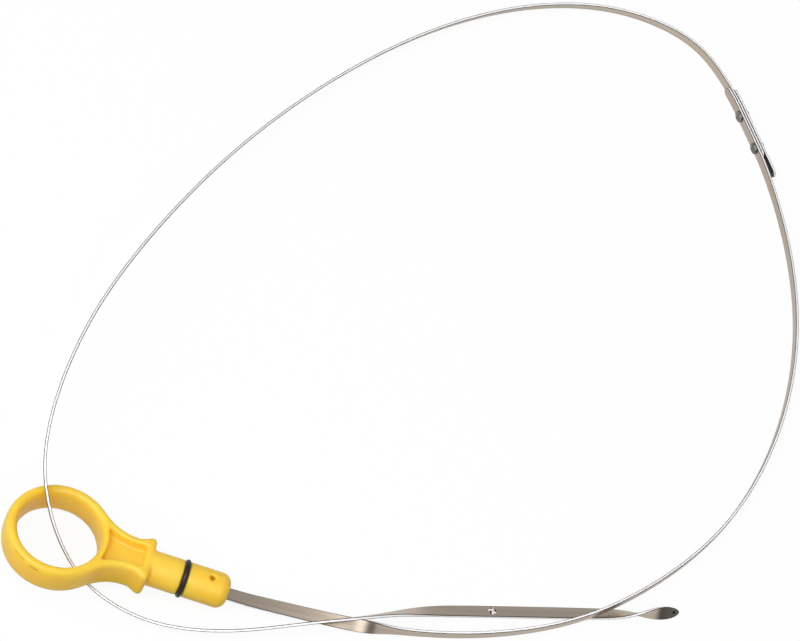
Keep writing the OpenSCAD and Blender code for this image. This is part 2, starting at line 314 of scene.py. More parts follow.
class Route:
    """A smooth cubic curve through rows of x, y, z and the strip's turn, in millimetres."""

    def __init__(self, rows: list[tuple[float, float, float, float]]) -> None:
        """Keeps the rows.

        Args:
            rows: x, y, z in millimetres and the turn in degrees: 0 on edge, 90 flat.
        """
        self.rows = [Vector(row) for row in rows]

    def control(self, i: int) -> Vector:
        """Looks up a row, with one straight step added past either end.

        Args:
            i: The row's number, from -1 to one past the last.

        Returns:
            Its x, y, z and turn.
        """
        last = len(self.rows) - 1
        if i < 0:
            return 2 * self.rows[0] - self.rows[1]
        if i > last:
            return 2 * self.rows[last] - self.rows[last - 1]
        return self.rows[i]

    def split(self, s: float) -> tuple[int, float]:
        """Returns the row before s and how far s is past it."""
        i = min(math.floor(s), len(self.rows) - 2)
        return i, s - i

    def at(self, s: float) -> Vector:
        """Finds a point of the curve.

        Args:
            s: Rows from the start.

        Returns:
            Its x, y, z and turn.
        """
        i, u = self.split(s)
        weights = ((1 - u) ** 3, 3 * u ** 3 - 6 * u ** 2 + 4,
                   -3 * u ** 3 + 3 * u ** 2 + 3 * u + 1, u ** 3)
        return sum((w * self.control(i + k - 1) for k, w in enumerate(weights)),
                   Vector((0, 0, 0, 0))) / 6

    def speed(self, s: float) -> Vector:
        """Finds how fast the point moves.

        Args:
            s: Rows from the start.

        Returns:
            Millimetres a row, in x, y and z.
        """
        i, u = self.split(s)
        weights = (-(1 - u) ** 2, 3 * u ** 2 - 4 * u, -3 * u ** 2 + 2 * u + 1, u ** 2)
        move = sum((w * self.control(i + k - 1) for k, w in enumerate(weights)),
                   Vector((0, 0, 0, 0))) / 2
        return Vector(move[:3])

    def place(self, s: float) -> Matrix:
        """Returns the strip's own place at s.

        Args:
            s: Rows from the start.

        Returns:
            X out of the left face, Y across the width, Z along the strip, in metres.
        """
        point = self.at(s)
        ahead = self.speed(s).normalized()
        left = Vector((0, 0, 1)).cross(ahead).normalized()
        up = ahead.cross(left)
        turn = math.radians(point[3])
        across = up * math.cos(turn) + left * math.sin(turn)
        out = left * math.cos(turn) - up * math.sin(turn)
        place = Matrix((out, across, ahead)).transposed().to_4x4()
        place.translation = Vector(point[:3]) * MM
        return place


# Rows of the routes before and past the joint's middle
JOINT_ROWS = 3
PAST_ROWS = 2
# Rows from the level mark to the end of the lower strip
MARK_BACK_ROWS = 7.67
HALF_GRIP = HANDLE.blade_grip / 2
PLATE_ROUTE = Route([JOINT.row(i * JOINT.step) for i in range(-JOINT_ROWS, PAST_ROWS + 1)]
                    + CROWN_ROWS)
UPPER_ROUTE = Route(
    [HANDLE.row(HANDLE.nose_x - back) for back in (HANDLE.blade_grip, HALF_GRIP, 0)]
    + [(*HANDLE.row(HANDLE.nose_x + HALF_GRIP)[:3], FLAT_DEG + HANDLE.roll / 2),
       (-46, -111.6, 4.31, 89), (-34, -114.2, 3.79, 84), (-25, -115.9, 3.29, 72),
       (-19, -117, 3.02, 48), (-13, -117.8, 2.58, 6), (-4, -118.7, 2.3, 0),
       (12, -119.3, 2.3, 0), (30, -118, 2.8, 0), (48, -114.8, 5, 0), (66.2, -107.3, 5.2, 0),
       (89.7, -92, 2.4, 0), (109.3, -72.4, 2.15, 0), (125, -45.2, 2.15, 0),
       (134, -16, 2.15, 0), (136.4, 12, 2.15, 0), (134, 38.3, 2.15, 0)]
    + [JOINT.row(i * JOINT.step) for i in range(-PAST_ROWS, PAST_ROWS + 1)] + CROWN_ROWS)
LOWER_ROUTE = Route(
    [tuple(row) for row in PLATE_ROUTE.rows]
    + [(60, 120.8, 2.42, 15), (35.8, 116.2, 2.4, 17), (9.7, 105.7, 2.51, 20),
       (-15.3, 90.2, 3.51, 20), (-39.8, 70.7, 5.49, 18), (-64, 46.5, 9.02, 15),
       (-87.8, 16.2, 13.51, 11), (-107.8, -15.5, 17.28, 8), (-119.4, -46.1, 19.3, 3),
       (-122.9, -66.4, 18.7, 0), (-122.1, -78.8, 17.1, -3), (-119.3, -88.5, 12.5, -7),
       (-115.2, -95.5, 7, -12), (-111, -101, 3.81, -15), (-103.8, -108.2, 2.63, -18),
       (-91, -115.5, 2.69, -20), (-76, -118.6, 2.99, -20), (-60, -118.9, 4.19, -20),
       (-45, -117.3, 6.18, -19), (-32, -115.9, 7.18, -19), (-20, -114.4, 6.89, -21),
       (-9, -111.8, 4.4, -34), (2, -110.4, 2.51, -68), (16, -110.1, 1.79, -72),
       (32, -110, 1.67, -71), (48, -110, 1.67, -71), (60, -110, 1.76, -66),
       (66, -109.9, 2.14, -44), (71, -109.7, 2.5, -8), (75.5, -109.5, 1.95, 38),
       (79.5, -109.2, 1.2, 62), (83.5, -108.7, 0.9, 67)])
UPPER_END = (len(UPPER_ROUTE.rows) - len(CROWN_ROWS) - PAST_ROWS - 1
             + JOINT.upper_lap / JOINT.step)
LOWER_START = JOINT_ROWS - JOINT.lower_lap / JOINT.step
LOWER_END = len(LOWER_ROUTE.rows) - 1.0
MARK_ROW = LOWER_END - MARK_BACK_ROWS
PLATE_START = JOINT_ROWS - (JOINT.plate_length / 2 + JOINT.plate_back) / JOINT.step
PLATE_END = PLATE_START + JOINT.plate_length / JOINT.step


# Finishes


@dataclass(frozen=True)
class MouldedNylon:
    """Injection-moulded nylon, dyed yellow: a fine spark-eroded grain with a slight gloss."""

    name: str = "moulded_yellow_nylon"
    colour: str = "#FACF48"
    deep: str = "#F5C63A"
    dirt: str = "#9A7232"
    # Painted shade in the locating hole
    locator_painted_shade: str = "#7A4210"
    cloud_mm: float = 12.0
    cloud_stops: tuple[float, float] = (0.3, 0.7)
    grain_mm: float = 0.35
    grain_strength: float = 0.12
    grain_deep_mm: float = 0.03
    roughness: float = 0.36
    smoother: float = 0.05
    rougher: float = 0.07
    ior: float = 1.52
    specular: float = 0.45
    glow: float = 0.8
    glow_mm: float = 5.0
    glow_reach: tuple[float, float, float] = (1.0, 0.5, 0.12)
    crumb_mm: float = 0.5
    raggedness: float = 1.6
    spot_rim: tuple[float, float] = (1.3, 2.0)
    locator_shade_spot_mm: tuple[float, float, float] = (0.8, 0.8, 1.0)
    scuff_wide_mm: float = 0.16
    scuff_deep_mm: float = 1.2
    scuff_most: float = 0.6
    # Middle and half length in millimetres, and direction in degrees from +X
    scuffs: tuple[tuple[tuple[float, float, float], float, float], ...] = (
        ((-131.0, -100.3, 19.8), 1.3, -50.0),
        ((-129.8, -101.9, 19.8), 1.5, -42.0),
        ((-126.2, -105.2, 19.4), 1.4, -30.0),
        ((-125.0, -105.9, 19.4), 0.9, -24.0),
    )

    def make(self) -> bpy.types.Material:
        """Builds the material.

        Returns:
            The finished material.
        """
        material, shader = new_material(self.name)
        place = add_node(material, "TexCoord").outputs["Object"]
        # Dye and packing pressure vary over about a centimetre
        cloud = noise(material, place, 1 / (self.cloud_mm * MM), detail=2.0)
        colour = ramp(material, cloud, self.cloud_stops, (self.deep, self.colour))
        for middle, half_long_mm, heading in self.scuffs:
            sizes_mm = (half_long_mm, self.scuff_wide_mm, self.scuff_deep_mm)
            rubbed = self.spot(material, place, middle, sizes_mm, heading, self.scuff_most)
            colour = mix_colour(material, rubbed, colour, linear(self.dirt))
        # Painted shade: the locating hole is coloured deep orange brown, where little light gets in
        shade = self.spot(material, place, HANDLE.locator(), self.locator_shade_spot_mm,
                          HANDLE.heading, 1.0)
        colour = mix_colour(material, shade, colour, linear(self.locator_painted_shade))
        grain = noise(material, place, 1 / (self.grain_mm * MM), detail=2.0, roughness=0.6)
        fill(material, shader, {
            "Base Color": colour,
            "Roughness": remap(material, cloud, self.roughness - self.smoother,
                               self.roughness + self.rougher),
            "Normal": bump(material, grain, self.grain_strength, self.grain_deep_mm),
            "IOR": self.ior,
            "Specular IOR Level": self.specular,
            # Light sinks a few millimetres into the plastic, so its shaded walls glow orange
            "Subsurface Weight": self.glow,
            "Subsurface Radius": self.glow_reach,
            "Subsurface Scale": self.glow_mm * MM})
        return material

    def spot(self, material: bpy.types.Material, place: Socket, middle: tuple[float, ...],
             sizes_mm: tuple[float, float, float], heading: float, most: float) -> Socket:
        """Adds one small ragged spot: a scratch, or the painted shade of the locating hole.

        Args:
            material: The material that it goes into.
            place: Object coordinates.
            middle: Where the spot is, in millimetres.
            sizes_mm: Half of its length, width and depth.
            heading: Its direction in degrees from +X.
            most: How strong it is in its middle, from 0 to 1.

        Returns:
            How strong the spot is, from 0 to most.
        """
        centred = calculate_vector(material, "SUBTRACT", place,
                                   tuple(c * MM for c in middle))["Vector"]
        turned = add_node(material, "VectorRotate", {"rotation_type": "Z_AXIS"}, {
            "Vector": centred, "Angle": -math.radians(heading)}).outputs["Vector"]
        sized = calculate_vector(material, "MULTIPLY", turned,
                                 tuple(1 / (c * MM) for c in sizes_mm))["Vector"]
        far = calculate_vector(material, "LENGTH", sized)["Value"]
        crumbs = noise(material, place, 1 / (self.crumb_mm * MM), detail=2.0)
        ragged = calculate(material, "MULTIPLY_ADD", crumbs, self.raggedness, far)
        return remap(material, ragged, most, 0.0, self.spot_rim, Curve.SOFT)


@dataclass(frozen=True)
class NitrileRubber:
    """Moulded nitrile rubber, oiled: near black with one soft highlight."""

    name: str = "nitrile_rubber"
    colour: str = "#17130F"
    skin_mm: float = 0.5
    skin_strength: float = 0.15
    skin_deep_mm: float = 0.02
    roughness: float = 0.34
    smoother: float = 0.05
    rougher: float = 0.12
    ior: float = 1.52
    specular: float = 0.4

    def make(self) -> bpy.types.Material:
        """Builds the material.

        Returns:
            The finished material.
        """
        material, shader = new_material(self.name)
        place = add_node(material, "TexCoord").outputs["Object"]
        skin = noise(material, place, 1 / (self.skin_mm * MM), detail=3.0)
        fill(material, shader, {
            "Base Color": linear(self.colour),
            "Roughness": remap(material, skin, self.roughness - self.smoother,
                               self.roughness + self.rougher),
            "Normal": bump(material, skin, self.skin_strength, self.skin_deep_mm),
            "IOR": self.ior,
            "Specular IOR Level": self.specular})
        return material


@dataclass(frozen=True)
class SpringSteel:
    """Cold-rolled spring steel strip, brushed along its length: warm grey with fine streaks."""

    name: str
    dark: str
    light: str
    roughness: float
    smoother: float = 0.04
    rougher: float = 0.06
    streak_mm: tuple[float, float] = (45.0, 0.45)
    band_mm: tuple[float, float] = (60.0, 2.4)
    contrast: float = 0.22
    # Painted dark reflection on the strip's last millimetres
    painted_dark_tip: str = ""
    painted_dark_tip_from_mm: float = 0.0
    painted_dark_tip_mm: float = 4.0

    def make(self) -> bpy.types.Material:
        """Builds the material, on the strip's UV map.

        Returns:
            The finished material.
        """
        material, shader = new_material(self.name)
        strip = add_node(material, "UVMap", {"uv_map": STRIP_UV}).outputs["UV"]
        # Brushing lines are 0.1 mm apart, drawn coarser so that they show
        brushed = self.streaks(material, strip, self.streak_mm, detail=2.0, roughness=0.6)
        # Rolling leaves longer, broader bands
        rolled = self.streaks(material, strip, self.band_mm, detail=1.0, roughness=0.5)
        both = add_node(material, "Mix", {"data_type": "FLOAT"}, {
            0: 0.5, 2: brushed, 3: rolled}).outputs[0]
        colour = ramp(material, both, (0.5 - self.contrast, 0.5 + self.contrast),
                      (self.dark, self.light))
        if self.painted_dark_tip:
            # Painted dark reflection: the strip's last millimetres are darkened
            along = add_node(material, "SeparateXYZ", inputs={"Vector": strip}).outputs["X"]
            reach = (self.painted_dark_tip_from_mm * MM, (self.painted_dark_tip_from_mm + self.painted_dark_tip_mm) * MM)
            share = remap(material, along, 0.0, 1.0, reach, Curve.SOFT)
            colour = mix_colour(material, share, colour, linear(self.painted_dark_tip))
        fill(material, shader, {
            "Base Color": colour,
            "Roughness": remap(material, brushed, self.roughness - self.smoother,
                               self.roughness + self.rougher),
            "Metallic": 1.0})
        return material

    def streaks(self, material: bpy.types.Material, strip: Socket, sizes_mm: tuple[float, float],
                detail: float, roughness: float) -> Socket:
        """Adds noise that is drawn out along the strip.

        Args:
            material: The material that it goes into.
            strip: The strip's UV map.
            sizes_mm: The streaks' length and width.
            detail: How many finer layers they have.
            roughness: How much the finer layers count.

        Returns:
            Their grey value.
        """
        drawn = add_node(material, "Mapping", {"vector_type": "POINT"}, {
            "Vector": strip, "Scale": (1 / (sizes_mm[0] * MM), 1 / (sizes_mm[1] * MM), 1.0)})
        return noise(material, drawn.outputs["Vector"], 1.0, detail, roughness, flat=True)


@dataclass(frozen=True)
class BareSteel:
    """Unbrushed metal in one colour: a slit edge painted near white as a highlight, a corner
    painted dark as shade, the tip's pit painted near black as shade.
    """

    name: str
    colour: str
    roughness: float
    drift: float = 0.05
    drift_mm: float = 30.0

    def make(self) -> bpy.types.Material:
        """Builds the material, whose gloss drifts slowly along the strip.

        Returns:
            The finished material.
        """
        material, shader = new_material(self.name)
        strip = add_node(material, "UVMap", {"uv_map": STRIP_UV}).outputs["UV"]
        slow = noise(material, strip, 1 / (self.drift_mm * MM), detail=1.0, flat=True)
        fill(material, shader, {
            "Base Color": linear(self.colour),
            "Roughness": remap(material, slow, self.roughness - self.drift,
                               self.roughness + self.drift),
            "Metallic": 1.0})
        return material


@dataclass(frozen=True)
class StampedSteel:
    """Fresh steel under the stamping tool: small facets with painted glints, near white, and
    painted shade, dark, in the seams between them.
    """

    name: str = "stamped_steel_painted_glints"
    dark: str = "#3A302C"
    light: str = "#FFF6F2"
    facet_mm: float = 0.8
    seam: tuple[float, float] = (0.4, 0.62)
    torn_strength: float = 0.6
    torn_deep_mm: float = 0.15
    roughness: float = 0.45
    metallic: float = 0.45

    def make(self) -> bpy.types.Material:
        """Builds the material.

        Returns:
            The finished material.
        """
        material, shader = new_material(self.name)
        place = add_node(material, "TexCoord").outputs["Object"]
        facets = add_node(material, "TexVoronoi", inputs={
            "Vector": place, "Scale": 1 / (self.facet_mm * MM)}).outputs["Distance"]
        # Painted glints on the facets and painted shade in the seams between them
        seams = remap(material, facets, 0.0, 1.0, self.seam, Curve.SOFT)
        fill(material, shader, {
            "Base Color": mix_colour(material, seams, linear(self.light), linear(self.dark)),
            "Normal": bump(material, facets, self.torn_strength, self.torn_deep_mm),
            "Roughness": self.roughness,
            # The torn surface scatters part of the light, so it isn't all metal
            "Metallic": self.metallic})
        return material


@dataclass(frozen=True)
class PlatedSteel:
    """Zinc-plated, cold-headed steel: dull grey with a fine cloudy crystal pattern."""

    name: str = "zinc_plated_steel"
    dark: str = "#4E4D49"
    light: str = "#A7A69F"
    crystal_mm: float = 0.8
    crystal_stops: tuple[float, float] = (0.35, 0.65)
    crystal_strength: float = 0.3
    crystal_deep_mm: float = 0.03
    roughness: float = 0.34

    def make(self) -> bpy.types.Material:
        """Builds the material.

        Returns:
            The finished material.
        """
        material, shader = new_material(self.name)
        place = add_node(material, "TexCoord").outputs["Object"]
        crystals = noise(material, place, 1 / (self.crystal_mm * MM), detail=4.0, roughness=0.6)
        fill(material, shader, {
            "Base Color": ramp(material, crystals, self.crystal_stops, (self.dark, self.light)),
            "Normal": bump(material, crystals, self.crystal_strength, self.crystal_deep_mm),
            "Roughness": self.roughness,
            "Metallic": 1.0})
        return material


@dataclass(frozen=True)
class StudioWhite:
    """Seamless white paper: pure white to the camera, with a trace of the object's shadow."""

    name: str = "seamless_paper"
    paper: str = "#ACACAC"
    roughness: float = 0.9
    glow: float = 1.1
    shadow_share: float = 0.16
    mirrored_share: float = 0.5

    def make(self) -> bpy.types.Material:
        """Builds the material.

        Returns:
            The finished material.
        """
        material, shader = new_material(self.name)
        fill(material, shader, {
            "Base Color": linear(self.paper), "Roughness": self.roughness})
        rays = add_node(material, "LightPath").outputs
        mirrored = calculate(material, "MULTIPLY", rays["Is Glossy Ray"], 1.0 - self.mirrored_share)
        share = calculate(material, "MULTIPLY_ADD", rays["Is Camera Ray"],
                          1.0 - self.shadow_share, mirrored)
        white = add_node(material, "Emission", inputs={
            "Color": (1, 1, 1, 1), "Strength": self.glow})
        mix = add_node(material, "MixShader", inputs={
            0: share, 1: shader.outputs[0], 2: white.outputs[0]})
        fill(material, material.node_tree.nodes["Material Output"], {"Surface": mix.outputs[0]})
        return material


# Mesh helpers


def crease(bm: bmesh.types.BMesh, smooth_deg: float) -> None:
    """Shades a shape smooth, but for sharp edges and those where the finish changes.

    Args:
        bm: The shape.
        smooth_deg: Edges sharper than this stay crisp.
    """
    for face in bm.faces:
        face.smooth = True
    for edge in bm.edges:
        if len(edge.link_faces) == 2:
            one, other = edge.link_faces
            edge.smooth = (one.material_index == other.material_index
                           and edge.calc_face_angle(0.0) < math.radians(smooth_deg))


def make_piece(name: str, bm: bmesh.types.BMesh, materials: list[bpy.types.Material],
               smooth_deg: float = CREASE_DEG) -> bpy.types.Object:
    """Turns a bmesh into an object at the origin, shaded smooth up to an angle.

    Args:
        name: The piece's name.
        bm: The shape, in metres. It is freed.
        materials: The piece's materials, in slot order.
        smooth_deg: Edges sharper than this stay crisp.

    Returns:
        The new object, linked to the scene.
    """
    bmesh.ops.recalc_face_normals(bm, faces=bm.faces)
    crease(bm, smooth_deg)
    mesh = bpy.data.meshes.new(name)
    bm.to_mesh(mesh)
    bm.free()
    for material in materials:
        mesh.materials.append(material)
    piece = bpy.data.objects.new(name, mesh)
    bpy.context.scene.collection.objects.link(piece)
    return piece


def bake_modifiers(piece: bpy.types.Object) -> None:
    """Replaces a piece's mesh by what its modifiers make of it, and drops them.

    Args:
        piece: The piece.
    """
    graph = bpy.context.evaluated_depsgraph_get()
    mesh = bpy.data.meshes.new_from_object(
        piece.evaluated_get(graph), preserve_all_data_layers=True, depsgraph=graph)
    old = piece.data
    piece.modifiers.clear()
    piece.data = mesh
    bpy.data.meshes.remove(old)


def cut(piece: bpy.types.Object, tool: bmesh.types.BMesh, finish: bpy.types.Material) -> None:
    """Cuts a tool out of a piece, and gives the faces that it leaves a finish of their own.

    Args:
        piece: The piece that is cut.
        tool: A closed shape, in metres. It is freed.
        finish: The finish of the cut faces.
    """
    cutter = make_piece("cutter", tool, [finish])
    step = piece.modifiers.new("cut", "BOOLEAN")
    step.operation, step.solver, step.object = "DIFFERENCE", "EXACT", cutter
    step.material_mode = "TRANSFER"
    bake_modifiers(piece)
    mesh = cutter.data
    bpy.data.objects.remove(cutter)
    bpy.data.meshes.remove(mesh)
    bm = bmesh.new()
    bm.from_mesh(piece.data)
    crease(bm, CREASE_DEG)
    bm.to_mesh(piece.data)
    bm.free()


def install(piece: bpy.types.Object, slot: Slot, *nodes: str) -> None:
    """Makes a piece stand for CAD nodes on the one body.

    Args:
        piece: The finished piece.
        slot: The record's material slot; not used.
        nodes: CAD nodes that it replaces, if any.
    """
    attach(piece, "root")
    if nodes:
        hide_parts(*nodes)
    LOG.info("%s: %d faces", piece.name, len(piece.data.polygons))


def spin(bm: bmesh.types.BMesh, steps: int) -> None:
    """Spins all that a shape holds one full turn about Z, in a number of steps."""
    bmesh.ops.spin(bm, geom=bm.verts[:] + bm.edges[:], cent=(0, 0, 0), axis=(0, 0, 1),
                   angle=2 * math.pi, steps=steps, use_merge=True)


def revolve(profile: list[tuple[float, float]], steps: int) -> bmesh.types.BMesh:
    """Spins a profile of radius and height, in millimetres, about Z.

    Args:
        profile: Points from the axis outwards and back to the axis.
        steps: Steps in a full turn.

    Returns:
        The closed shape.
    """
    bm = bmesh.new()
    points = [bm.verts.new((r * MM, 0, h * MM)) for r, h in profile]
    for a, b in zip(points, points[1:]):
        bm.edges.new((a, b))
    spin(bm, steps)
    bmesh.ops.remove_doubles(bm, verts=bm.verts, dist=WELD_MM * MM)
    return bm


# Sub-assemblies


@dataclass
class Handle:
    """The moulded handle: finger ring, neck, collar, stem and nose in one piece."""

    voxel_mm: float = 0.3
    neck_end_mm: float = 31.0
    ring_end_mm: float = 15.0
    blend_mm: float = 3.0
    ring_rounds: int = 190
    swell_mm: float = 0.34
    neck_rounds: int = 34
    stem_rounds: int = 4
    finish: MouldedNylon = field(default_factory=MouldedNylon)

    def build(self) -> bpy.types.Object:
        """Copies the solid, melts its corners soft, and dresses it.

        Returns:
            The piece that stands for the handle's solid.
        """
        bm = bmesh.new()
        bm.from_mesh(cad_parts["handle"].data)
        bmesh.ops.remove_doubles(bm, verts=bm.verts, dist=WELD_MM * MM)
        piece = make_piece("moulded_handle", bm, [self.finish.make()])
        remesh = piece.modifiers.new("skin", "REMESH")
        remesh.mode = "VOXEL"
        remesh.voxel_size = self.voxel_mm * MM
        bake_modifiers(piece)
        self.melt(piece)
        install(piece, Slot.HANDLE, "handle")
        return piece

    def melt(self, piece: bpy.types.Object) -> None:
        """Rounds the ring most, the neck less and the stem least, as the real fillets are.

        Args:
            piece: The remeshed handle.
        """
        bm = bmesh.new()
        bm.from_mesh(piece.data)
        home = HANDLE.matrix().inverted()
        along = {vert: (home @ vert.co).x / MM for vert in bm.verts}
        for done in range(self.ring_rounds):
            limit = self.reach(done)
            bmesh.ops.smooth_vert(bm, verts=[vert for vert, x in along.items() if x < limit],
                                  factor=0.5, use_axis_x=True, use_axis_y=True, use_axis_z=True)
        # Melting thins the ring, so its skin is moved out again
        bm.normal_update()
        for vert, x in along.items():
            share = min(max((self.ring_end_mm - x) / self.blend_mm, 0.0), 1.0)
            vert.co += vert.normal * self.swell_mm * MM * share
        for face in bm.faces:
            face.smooth = True
        bm.to_mesh(piece.data)
        bm.free()

    def reach(self, done: int) -> float:
        """Works out how far along the handle a round of melting goes.

        Args:
            done: How many rounds came before it.

        Returns:
            Millimetres from the ring's centre.
        """
        if done < self.stem_rounds:
            return math.inf
        if done < self.neck_rounds:
            share = (done - self.stem_rounds) / (self.neck_rounds - self.stem_rounds)
            return self.neck_end_mm - self.blend_mm * share
        share = (done - self.neck_rounds) / (self.ring_rounds - self.neck_rounds)
        return self.ring_end_mm - self.blend_mm * share


@dataclass
class SealingRing:
    """The rubber ring in the stem's groove."""

    along_mm: float = 41.5
    ring_mm: float = 5.4
    cord_mm: float = 1.7
    cord_steps: int = 28
    turn_steps: int = 120
    finish: NitrileRubber = field(default_factory=NitrileRubber)

    def build(self) -> bpy.types.Object:
        """Spins the ring's round section about the stem and dresses it.

        Returns:
            The piece that stands for the ring's solid.
        """
        bm = bmesh.new()
        section = bmesh.ops.create_circle(
            bm, segments=self.cord_steps, radius=self.cord_mm / 2 * MM)["verts"]
        bmesh.ops.rotate(bm, verts=section, matrix=Matrix.Rotation(math.radians(90), 3, "X"))
        bmesh.ops.translate(bm, verts=section, vec=(self.ring_mm * MM, 0, 0))
        spin(bm, self.turn_steps)
        place = (HANDLE.matrix() @ Matrix.Translation((self.along_mm * MM, 0, 0))
                 @ Matrix.Rotation(math.radians(90), 4, "Y"))
        bmesh.ops.transform(bm, matrix=place, verts=bm.verts)
        piece = make_piece("rubber_seal", bm, [self.finish.make()])
        install(piece, Slot.SEAL, "sealing_ring")
        return piece


@dataclass
class Strip:
    """One length of the steel strip, or the plate of the same strip, swept along its route."""

    name: str
    node: str
    slot: Slot
    route: Route
    start: float
    end: float
    # How many times lap_shift_mm the strip stands off its route, to the left
    side: int
    finishes: list[SpringSteel | BareSteel]
    last_end_mm: float = 2.15
    mark_row: float | None = None
    hole_back_mm: float = 0.0
    width_mm: float = 4.3
    thick_mm: float = 0.9
    lap_shift_mm: float = 0.47
    ease_mm: float = 0.18
    ease_steps: int = 3
    mark_r_mm: float = 1.35
    mark_deep_mm: float = 0.12
    hole_r_mm: float = 0.45
    hole_deep_mm: float = 0.8
    pit_steps: int = 40
    step_mm: float = 1.3
    turn_deg: float = 4.0
    end_angles_deg: range = range(8, 89, 8)
    smooth_deg: float = 50.0
    skin_mm: float = 0.005

    def stations(self) -> list[tuple[float, float]]:
        """Works out where the sections go.

        Returns:
            Pairs of the row and the share of the full width there.
        """
        first_v = self.route.speed(self.start).length
        last_v = self.route.speed(self.end).length
        round_end = self.width_mm / 2
        angles = [math.radians(a) for a in self.end_angles_deg]
        rows = [(self.start + round_end * (1 - math.cos(a)) / first_v, math.sin(a)) for a in angles]
        low, high = self.start + round_end / first_v, self.end - self.last_end_mm / last_v
        for i in range(math.floor(low), math.ceil(high)):
            turned = abs(self.route.at(i + 1)[3] - self.route.at(i)[3])
            count = max(2, math.ceil(self.route.speed(i + 0.5).length / self.step_mm),
                        math.ceil(turned / self.turn_deg))
            rows += [(i + k / count, 1.0) for k in range(count) if low < i + k / count < high]
        return rows + [(self.end - self.last_end_mm * (1 - math.cos(a)) / last_v, math.sin(a))
                       for a in reversed(angles)]

    def section(self, bm: bmesh.types.BMesh) -> None:
        """Makes the rectangle with eased corners that is swept.

        Args:
            bm: The shape that it goes into.
        """
        grid = bmesh.ops.create_grid(bm, x_segments=1, y_segments=1, size=0.5)
        bmesh.ops.scale(bm, vec=(self.thick_mm * MM, self.width_mm * MM, 1), verts=grid["verts"])
        bmesh.ops.bevel(bm, geom=bm.verts[:], offset=self.ease_mm * MM, affect="VERTICES",
                        offset_type="OFFSET", segments=self.ease_steps, profile=0.5,
                        material=-1)

    def build(self) -> bpy.types.Object:
        """Sweeps the section and dresses the strip.

        Returns:
            The piece that stands for the strip's solid.
        """
        bm = bmesh.new()
        along = bm.verts.layers.float.new("along")
        around = bm.verts.layers.float.new("around")
        home = bm.verts.layers.float_vector.new("home")
        self.section(bm)
        ring = [loop.vert for loop in next(iter(bm.faces)).loops]
        total = 0.0
        for k, vert in enumerate(ring):
            vert[home] = vert.co.copy()
            vert[around] = total
            total += (ring[(k + 1) % len(ring)].co - vert.co).length
        travelled, previous = 0.0, None
        front = list(bm.edges)
        for s, share in self.stations():
            place = self.route.place(s)
            if previous is not None:
                travelled += (place.translation - previous).length
                made = bmesh.ops.extrude_edge_only(bm, edges=front)["geom"]
                front = [g for g in made if isinstance(g, bmesh.types.BMEdge)
                         and all(v in made for v in g.verts)]
                ring = [g for g in made if isinstance(g, bmesh.types.BMVert)]
            previous = place.translation
            for vert in ring:
                spot = vert[home]
                vert.co = place @ Vector((spot.x + self.side * self.lap_shift_mm * MM,
                                          spot.y * share, 0))
                vert[along] = travelled
        # The distance ends at 0, so that the finish can find the tip
        for vert in bm.verts:
            vert[along] -= travelled
        bmesh.ops.contextual_create(bm, geom=front)
        self.map_skin(bm, along, around, home, total)
        piece = make_piece(self.name, bm, [finish.make() for finish in self.finishes],
                           self.smooth_deg)
        if self.mark_row is not None:
            cut(piece, self.pit(self.mark_row, Side.LEFT, self.mark_r_mm, self.mark_deep_mm),
                StampedSteel().make())
            # Painted shade: the tip's hole is a blind pit whose walls and floor are near black
            cut(piece, self.pit(self.hole_row(), Side.RIGHT, self.hole_r_mm, self.hole_deep_mm),
                BareSteel("pit_painted_shade", "#2B2823", 0.5).make())
        install(piece, self.slot, self.node)
        return piece

    def hole_row(self) -> float:
        """Returns the row of the tip's hole."""
        return self.end - self.hole_back_mm / self.route.speed(self.end).length

    def pit(self, s: float, face: Side, radius_mm: float, deep_mm: float) -> bmesh.types.BMesh:
        """Makes the tool for a round pit in one face of the strip.

        Args:
            s: Rows from the route's start.
            face: The flat side that it goes into.
            radius_mm: The pit's radius.
            deep_mm: Its depth.

        Returns:
            A closed disc, half of it outside the strip, in metres.
        """
        bm = bmesh.new()
        bmesh.ops.create_cone(bm, cap_ends=True, segments=self.pit_steps, radius1=radius_mm * MM,
                              radius2=radius_mm * MM, depth=2 * deep_mm * MM)
        skin = (self.side * self.lap_shift_mm + face.value * self.thick_mm / 2) * MM
        place = (self.route.place(s) @ Matrix.Translation((skin, 0, 0))
                 @ Matrix.Rotation(math.radians(90), 4, "Y"))
        bmesh.ops.transform(bm, matrix=place, verts=bm.verts)
        return bm

    def map_skin(self, bm: bmesh.types.BMesh, along: Any, around: Any, home: Any,
                 total: float) -> None:
        """Writes the strip's UV map and sorts its faces into flats, edges and corners.

        The map is in metres: X along the strip, up to 0 at its end, and Y round its section.

        Args:
            bm: The swept strip.
            along: Layer with the distance along the strip.
            around: Layer with the distance round the section.
            home: Layer with the place in the section.
            total: The section's perimeter.
        """
        uv = bm.loops.layers.uv.new(STRIP_UV)
        half_w, half_t = self.width_mm / 2 * MM, self.thick_mm / 2 * MM
        for face in bm.faces:
            rounds = [loop.vert[around] for loop in face.loops]
            wraps = max(rounds) - min(rounds) > total / 2
            for loop, value in zip(face.loops, rounds):
                past = total if wraps and value < total / 2 else 0.0
                loop[uv].uv = (loop.vert[along], value + past)
            places = [loop.vert[home] for loop in face.loops]
            if all(abs(abs(p.x) - half_t) < self.skin_mm * MM for p in places):
                face.material_index = StripFace.FLAT.value
            elif all(abs(abs(p.y) - half_w) < self.skin_mm * MM for p in places):
                face.material_index = StripFace.EDGE.value
            else:
                face.material_index = StripFace.CORNER.value


